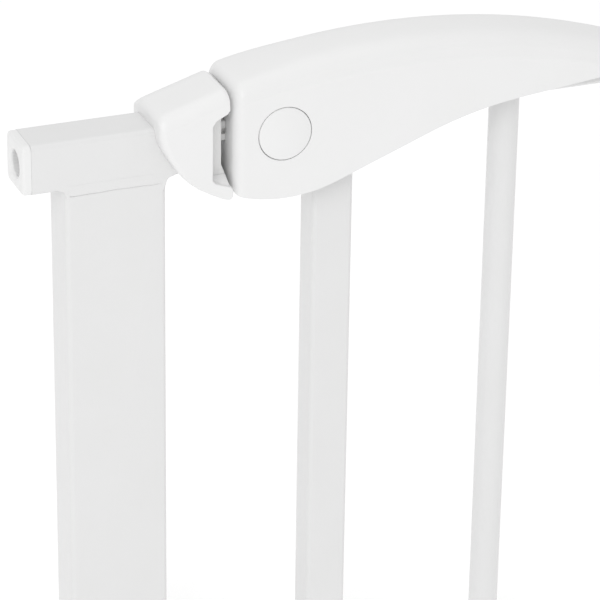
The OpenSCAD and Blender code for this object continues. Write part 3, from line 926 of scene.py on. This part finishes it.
def box_depth(y):
    """Depth of the round-cornered section: a slightly bowed top, then a quarter circle."""
    flat = HANDLE_HALF - BOX_R
    if y <= flat:
        return BOW * (y / flat) ** 2
    return BOW + BOX_R - sqrt(max(0, BOX_R ** 2 - (y - flat) ** 2))


def boxed(match):
    """Points of the round-cornered section, at the depths or shares of the crowned one."""
    made = []
    sides = len(match) - len(TOP_SHARES) + 1
    for y, depth in match[:sides]:
        rise = max(0, BOW + BOX_R - depth)
        made.append((HANDLE_HALF - BOX_R + sqrt(max(0, BOX_R ** 2 - rise ** 2)), depth))
    widest = made[-1][0]
    for share in TOP_SHARES[1:]:
        y = widest * (share / TOP_SHARES[0]) ** 0.9
        made.append((y, box_depth(y)))
    return made


CROWNED = crowned()
BOXED = boxed(CROWNED)
SIDE_ROWS = 7
BLEND = 84, 116


def handle_section(x, end_inset=0.0, corner_lift=0.0):
    """Points (y, z) of the section at x, from the front's lower edge over the crown and down."""
    bent = ease(x, *BLEND)
    top, bottom = crown(x), lower(x) + corner_lift
    half = [(a[0] + (b[0] - a[0]) * bent, a[1] + (b[1] - a[1]) * bent)
            for a, b in zip(BOXED, CROWNED)]
    share = (HANDLE_HALF - end_inset) / HANDLE_HALF
    side_top = top - half[0][1] - end_inset
    sides = [(HANDLE_HALF - end_inset, bottom + (side_top - bottom) * k / SIDE_ROWS)
             for k in range(SIDE_ROWS)]
    right = sides + [(y * share, top - end_inset - depth) for y, depth in half]
    return [(-y, z) for y, z in right] + list(reversed(right[:-1]))


def drawn_in(section, depth):
    """A section moved inwards by depth. Its two lower ends keep their height."""
    moved = []
    for i, (y, z) in enumerate(section):
        before, after = section[max(0, i - 1)], section[min(len(section) - 1, i + 1)]
        run = Vector((after[0] - before[0], after[1] - before[1])).normalized()
        moved.append((y + run.y * depth, z - run.x * depth))
    return moved


# %% [markdown]
# The handle is a wall, not a block: an outer skin and an inner one, joined by a rim along the
# open underside and at the far end. Both skins take rings at matching stations. Near the left end
# the stations crowd together to round the corner, and the inner skin stops one wall short of it.

# %% Handle: the wall
END_R, CORNER_R, LIFT_R = 4.2, 3.8, 2.2
end_turns = [radians(90) * k / 8 for k in range(9)]
rest = [SHELL_LOW.x + CORNER_R + (SHELL_HIGH.x - SHELL_LOW.x - CORNER_R) * k / 90
        for k in range(1, 91)]
outer_x = [SHELL_LOW.x + CORNER_R * (1 - cos(a)) for a in end_turns] + rest
inner_x = [SHELL_LOW.x + WALL + (CORNER_R - WALL) * (1 - cos(a)) for a in end_turns] + rest
wall_points = []
for out_x, in_x in zip(outer_x, inner_x):
    from_end = out_x - SHELL_LOW.x
    lift = edge_inset(LIFT_R, from_end)
    outside = handle_section(out_x, edge_inset(END_R, from_end), lift)
    inner_inset = edge_inset(CORNER_R - WALL, in_x - SHELL_LOW.x - WALL)
    inside = drawn_in(handle_section(in_x, inner_inset, lift), WALL)
    wall_points += [(out_x, y, z) for y, z in outside] + [(in_x, y, z) for y, z in inside]
row = len(outside)
faces = []
for i in range(len(outer_x) - 1):
    here, there = i * 2 * row, (i + 1) * 2 * row
    for j in range(row - 1):
        faces.append((here + j, there + j, there + j + 1, here + j + 1))
        faces.append((here + row + j, here + row + j + 1, there + row + j + 1, there + row + j))
    for j in (0, row - 1):
        faces.append((here + j, here + row + j, there + row + j, there + j))
end = (len(outer_x) - 1) * 2 * row
for j in range(row - 1):
    faces.append((end + j, end + row + j, end + row + j + 1, end + j + 1))
faces.append(tuple(range(row)))
faces.append(tuple(range(2 * row - 1, row - 1, -1)))
faces.append((0, row - 1, 2 * row - 1, row))
shell = mesh_piece("handle_moulding", wall_points, faces)
outward(shell)
print("handle section:", row, "points a side at", len(outer_x), "stations")

# %% [markdown]
# Then it is cut: a round hole for each button, with a softened lip, the slot for the bolt in the
# end, and two screw holes in the back. Two ribs bridge the hollow over the rail, because the
# screws need something stiff to pull against.

# %% Handle: holes and ribs
hole_r = 10.85
lip = 0.45
flare = [(hole_r, 0)]
flare += [(hole_r + lip * (1 - cos(a)), HANDLE_HALF - lip + lip * sin(a)) for a in quarter(6)]
flare.append((hole_r + lip, HANDLE_HALF + 2))
front_hole = turned("front_hole", flare, y_sign=-1, sides=128)
rear_hole = turned("rear_hole", flare, sides=128)
bolt_slot = box_piece("bolt_slot", (SHELL_LOW.x - 2, -bolt_half_y - 0.3, BOLT_BOTTOM - 0.3),
                      (SHELL_LOW.x + WALL + 2, bolt_half_y + 0.3, BOLT_TOP + 0.3))
cut(shell, front_hole, rear_hole, bolt_slot)
rail_half = RAIL_HIGH.y + 0.05


def rib(x):
    """A bridge across the hollow, cut out below for the rail."""
    side, top = HANDLE_HALF - WALL + 0.2, crown(x) - 9
    bottom, rail_top = lower(x) + WALL, RAIL_HIGH.z + 0.05
    ring = [(-side, bottom), (-side, top), (side, top), (side, bottom), (rail_half, bottom),
            (rail_half, rail_top), (-rail_half, rail_top), (-rail_half, bottom)]
    return skin("rib", [[(px, y, z) for y, z in ring] for px in (x - 3, x + 3)],
                first=True, last=True)


shell = join("handle_moulding", [shell] + [rib(x) for x in HANDLE_SCREW_X])
for x in HANDLE_SCREW_X:
    cut(shell, screw_hole("hole", x, HANDLE_SCREW_Z, HANDLE_HALF, HANDLE_SCREW_LENGTH))
dress(shell, "gate", MOULDED, "white_moulding", "handle_shell", angle=35)

# %% [markdown]
# The curved plate that closes the latch from below follows the same lower curve as the handle,
# set up inside its walls, so we sweep its section along that curve.

# %% Underside cover
cover_low, cover_high = span("underside_cover")
cover_half, cover_thick, cover_edge, set_up = cover_high.y, 2, 0.4, 0.6
cover_rings = []
for k in range(41):
    x = cover_low.x + (cover_high.x - cover_low.x) * k / 40
    low_z = max(lower(x) + set_up, cover_low.z)
    high_z = low_z + cover_thick
    section = rounded([(-cover_half, low_z, cover_edge), (cover_half, low_z, cover_edge),
                       (cover_half, high_z, cover_edge), (-cover_half, high_z, cover_edge)],
                      step=30)
    cover_rings.append([(x, y, z) for y, z in section])
cover = skin("underside_cover_plate", cover_rings, first=True, last=True)
dress(cover, "gate", NYLON, "white_nylon", "underside_cover")

# %% [markdown]
# ## Buttons
# A button cap is turned: a shallow dome, a small edge radius and a straight skirt that runs in
# the handle's hole. The gap round it reads as a fine dark ring. Front and back are mirror images
# on bodies of their own, because each is pressed inwards.

# %% Button caps
def button_cap(name, y_sign, body, node_name):
    """The cap of the front or back button on its body."""
    radius, soft = (BUTTON_HIGH.x - BUTTON_LOW.x) / 2, 0.55
    back, apex = abs(BUTTON_HIGH.y), abs(BUTTON_LOW.y)
    edge = HANDLE_HALF + 0.05
    profile = [(0, back), (radius - 0.3, back), (radius, back + 0.3)]
    profile += [(radius - soft * (1 - cos(a)), edge - soft + soft * sin(a)) for a in quarter(7)]
    rim = profile[-1][0]
    for k in range(1, 25):
        r = rim * (1 - k / 24)
        profile.append((r, edge + (apex - edge) * (1 - (r / rim) ** 2)))
    cap = turned(name, profile, y_sign=y_sign, sides=128)
    return dress(cap, body, MOULDED, "white_moulding", node_name, angle=40)


button_cap("front_button", -1, "front_button", "front_button_cap")
button_cap("rear_button", 1, "rear_button", "rear_button_cap")

# %% [markdown]
# ## Bolt
# The bolt is a bar with a blunt nose, a groove moulded along each side to save plastic, and a
# window whose right side is an arrow. The buttons' wedges run against the arrow, and two
# millimetres of bolt travel come from each millimetre of press. Below it a lug meets the spring.

# %% Bolt
nose = 5.0
tip_half = bolt_half_y - 3
bolt_line = rounded([(BOLT_LOW.x, -tip_half, 1.2), (BOLT_LOW.x, tip_half, 1.2),
                     (BOLT_LOW.x + nose, bolt_half_y, 1.5), (BOLT_HIGH.x, bolt_half_y, 0.5),
                     (BOLT_HIGH.x, -bolt_half_y, 0.5), (BOLT_LOW.x + nose, -bolt_half_y, 1.5)])
bolt = skin("bolt_bar", [[(x, y, z) for x, y in bolt_line] for z in (BOLT_BOTTOM, BOLT_TOP)],
            first=True, last=True)
bevel(bolt, 0.5, 3, angle=60)
arrow_x, arrow_half, reach = 90.5, 1.0, bolt_half_y + 1
window_x, barb_x = arrow_x - 8, arrow_x + 2 * (reach - arrow_half)
window = [(window_x, -reach), (window_x, reach), (barb_x, reach), (arrow_x, arrow_half),
          (arrow_x, -arrow_half), (barb_x, -reach)]
window_cut = skin("window", [[(x, y, z) for x, y in window]
                             for z in (BUTTON_Z - 2.5, BUTTON_Z + 2.5)], first=True, last=True)
groove_y = bolt_half_y - 1.8
grooves = [box_piece("groove", (BOLT_LOW.x + 1.5, y0, BUTTON_Z - 1.3),
                     (window_x - 3, y1, BUTTON_Z + 1.1))
           for y0, y1 in ((-reach, -groove_y), (groove_y, reach))]
cut(bolt, window_cut, *grooves)
lug_left, lug_right, lug_half = 83.4, 85.8, 2.6
lug = box_piece("lug", (lug_left, -lug_half, BOLT_LOW.z), (lug_right, lug_half, BOLT_BOTTOM + 0.4))
bevel(lug, 0.3, 2)
bolt = join("bolt_bar", [bolt, lug])
dress(bolt, "bolt", WAXY, "bolt_nylon", "latch_bolt", angle=40)

# %% [markdown]
# ## Spring
# The spring follows a rule: a round wire wound on a helix. A Geometry Nodes tree makes it from
# named turns, radius, wire and length. It rides on the gate.

# %% Spring
spring_low, spring_high = span("bolt_spring")
wire = 0.35
coil = (spring_high.y - spring_low.y) / 2 - wire
spring_tree, given = group("spring", Turns=FLOAT, Radius=FLOAT, Wire=FLOAT, Length=FLOAT,
                           Place=VECTOR)
helix = node(spring_tree, "GeometryNodeCurveSpiral",
             {"Resolution": 40, "Rotations": given["Turns"], "Start Radius": given["Radius"],
              "End Radius": given["Radius"], "Height": given["Length"]})
strand = node(spring_tree, "GeometryNodeCurvePrimitiveCircle",
              {"Resolution": 12, "Radius": given["Wire"]}, mode="RADIUS")
swept = node(spring_tree, "GeometryNodeCurveToMesh",
             {"Curve": helix.outputs[0], "Profile Curve": strand.outputs[0], "Fill Caps": True})
laid = node(spring_tree, "GeometryNodeTransform",
            {"Geometry": swept.outputs[0], "Translation": given["Place"],
             "Rotation": (0, pi / 2, 0)})
deliver(spring_tree, laid.outputs[0], ZINC)
spring_length = spring_high.x - spring_low.x - 2 * wire
spring = grow("bolt_spring_wire", spring_tree, Turns=10.0, Radius=coil * MM, Wire=wire * MM,
              Length=spring_length * MM,
              Place=(Vector((spring_low.x + wire, 0, (spring_low.z + spring_high.z) / 2)) * MM))
dress(spring, "gate", ZINC, "zinc_plated_steel", "bolt_spring", angle=60)
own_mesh(spring)

# %% [markdown]
# ## Screws
# One screw is modelled: a countersunk head with a cross recess and a thread cut as a helix. A
# tree then sets copies of it in a row, so the handle, the housing and the catch share the same
# fastener.

# %% Screws
def make_screw(name, length):
    """A self-tapping screw with its head's face at the origin and its shank along +Z."""
    profile = [(0, 0), (SCREW_HEAD - 0.15, 0), (SCREW_HEAD, 0.15), (SCREW_CORE, HEAD_DEPTH)]
    turns_per_mm, sides = 0.8, 24
    rings = [[(r * cos(2 * pi * k / sides), r * sin(2 * pi * k / sides), z) for k in range(sides)]
             for r, z in profile[1:]]
    steps = round((length - HEAD_DEPTH) * 8)
    for s in range(1, steps + 1):
        z = HEAD_DEPTH + (length - HEAD_DEPTH) * s / steps
        taper = min(1, (length - z) / 1.6)
        ring = []
        for k in range(sides):
            phase = (z * turns_per_mm - k / sides) % 1
            crest = max(0, 1 - 3.2 * abs(phase - 0.5))
            r = (SCREW_CORE - 0.35 + 0.33 * crest) * (0.25 + 0.75 * taper)
            ring.append((r * cos(2 * pi * k / sides), r * sin(2 * pi * k / sides), z))
        rings.append(ring)
    made = skin(name, rings, first=True, last=True)
    long, thin, deep = 1.6, 0.32, 1.1
    return cut(made, box_piece("arm", (-long, -thin, -0.5), (long, thin, deep)),
               box_piece("arm", (-thin, -long, -0.5), (thin, long, deep)))


screw_tree, given = group("screw_row", Screw="NodeSocketObject", Count="NodeSocketInt",
                          Start=VECTOR, Step=VECTOR, Turn=VECTOR)
row = node(screw_tree, "GeometryNodeMeshLine",
           {"Count": given["Count"], "Start Location": given["Start"], "Offset": given["Step"]},
           mode="OFFSET")
model = node(screw_tree, "GeometryNodeObjectInfo", {"Object": given["Screw"], "As Instance": True})
copies = node(screw_tree, "GeometryNodeInstanceOnPoints",
              {"Points": row.outputs[0], "Instance": model.outputs["Geometry"],
               "Rotation": given["Turn"]})
deliver(screw_tree, copies.outputs[0], ZINC)


def screws(name, body, node_name, count, length, start, step, turn):
    """A row of screws on a body, in place of one node."""
    model_screw = make_screw("screw_model", length)
    row = grow(name, screw_tree, Screw=model_screw, Count=count, Start=Vector(start) * MM,
               Step=Vector(step) * MM, Turn=turn)
    bpy.data.objects.remove(model_screw)
    return dress(row, body, ZINC, "zinc_plated_steel", node_name, angle=30)


FROM_BACK, FROM_LEFT = (pi / 2, 0, 0), (0, pi / 2, 0)
screws("catch_fixing", "frame", "catch_screw", 1, CATCH_SCREW_LENGTH,
       (CATCH_SCREW[0], CATCH_HALF, CATCH_SCREW[1]), (0, 0, 0), FROM_BACK)
screws("handle_fixings", "gate", "handle_screws", 2, HANDLE_SCREW_LENGTH,
       (HANDLE_SCREW_X[0], HANDLE_HALF, HANDLE_SCREW_Z),
       (HANDLE_SCREW_X[1] - HANDLE_SCREW_X[0], 0, 0), FROM_BACK)
screws("housing_fixings", "gate", "housing_screws", 2, housing_screw_high.x - housing_screw_low.x,
       (housing_screw_low.x, 0, HOUSING_SCREW_Z[0]),
       (0, 0, HOUSING_SCREW_Z[1] - HOUSING_SCREW_Z[0]), FROM_LEFT)

# %% [markdown]
# ## Inner works
# The bolt's housing, its lid, the wedge plungers and the spindle's nut are plain machined or
# moulded shapes that the frame already has right. They stay as they are and only get their
# finishes.

# %% Finishes for the parts kept from the frame
# The housing and lid take the dark grey painted shade, which darkens the gap between catch and
# handle.
for node_name, material in (("bolt_housing", GAP_SHADE_GREY), ("housing_lid", GAP_SHADE_GREY),
                            ("front_plunger", NYLON), ("rear_plunger", NYLON),
                            ("spindle_nut", ZINC)):
    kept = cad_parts[node_name]
    for kept_slot in kept.material_slots:
        kept_slot.material = material
    print("kept", node_name)

# %% [markdown]
# ## Floor and light
# A white object needs a bright, even room, or it turns grey. The floor glows a little and the
# world is white. The key light, near the viewer's side, lifts the faces that look forward, and a
# broader, weaker one above lifts the tops. The tops stay a shade below the fronts, which
# separates the planes of a white shape.

# %% Stage
floor_z, floor_half = POST_LOW.z - 0.5, 4000
floor = mesh_piece("floor", [(x * floor_half, y * floor_half, floor_z)
                             for x, y in ((-1, -1), (1, -1), (1, 1), (-1, 1))], [(0, 1, 2, 3)])
pale = finish_material("floor_white", (0.9, 0.9, 0.9), (0.89, 0.89, 0.89), (0.7, 0.8), grain=40,
                       grain_depth=0.1, patch=3)
glow = pale.node_tree.nodes["Principled BSDF"].inputs
glow["Emission Color"].default_value = (1, 1, 1, 1)
glow["Emission Strength"].default_value = 0.21
floor.data.materials.append(pale)

world = bpy.data.worlds.new("white_room")
world.use_nodes = True
sky = world.node_tree.nodes["Background"].inputs
sky["Color"].default_value = (1, 1, 1, 1)
sky["Strength"].default_value = 0.78
bpy.context.scene.world = world


def softbox(name, place, target, size, power):
    """A square area light that faces a point."""
    light = bpy.data.lights.new(name, "AREA")
    light.size = size
    light.energy = power
    lamp = bpy.data.objects.new(name, light)
    bpy.context.scene.collection.objects.link(lamp)
    lamp.location = place
    aim = Vector(target) - Vector(place)
    lamp.rotation_mode = "QUATERNION"
    lamp.rotation_quaternion = aim.to_track_quat("-Z", "Y")
    return lamp


latch_middle = (0.11, 0, 0)
softbox("key", (-0.78, -1.28, 1.1), latch_middle, 0.9, 7.8)
softbox("top", (0.1, 0.2, 1.6), latch_middle, 1.5, 3.7)

# %% [markdown]
# ## Camera
# A long lens from the front left, a little above the handle. It is turned by a product of
# rotations, not by Euler angles, so the small roll stays a roll about the line of sight.

# %% Camera
camera_data = bpy.data.cameras.new("camera")
camera_data.lens = 204.26
camera_data.sensor_width = 36
camera_data.clip_end = 20
camera = bpy.data.objects.new("camera", camera_data)
bpy.context.scene.collection.objects.link(camera)
yaw, pitch, roll = radians(22.204), radians(25.943), radians(0.870)
turn = (Matrix.Rotation(-yaw, 4, "Z") @ Matrix.Rotation(pi / 2 - pitch, 4, "X")
        @ Matrix.Rotation(roll, 4, "Z"))
camera.matrix_world = Matrix.Translation(Vector((-343.9, -1117.8, 511.2)) * MM) @ turn
bpy.context.scene.camera = camera
bpy.context.scene.view_settings.view_transform = "Standard"
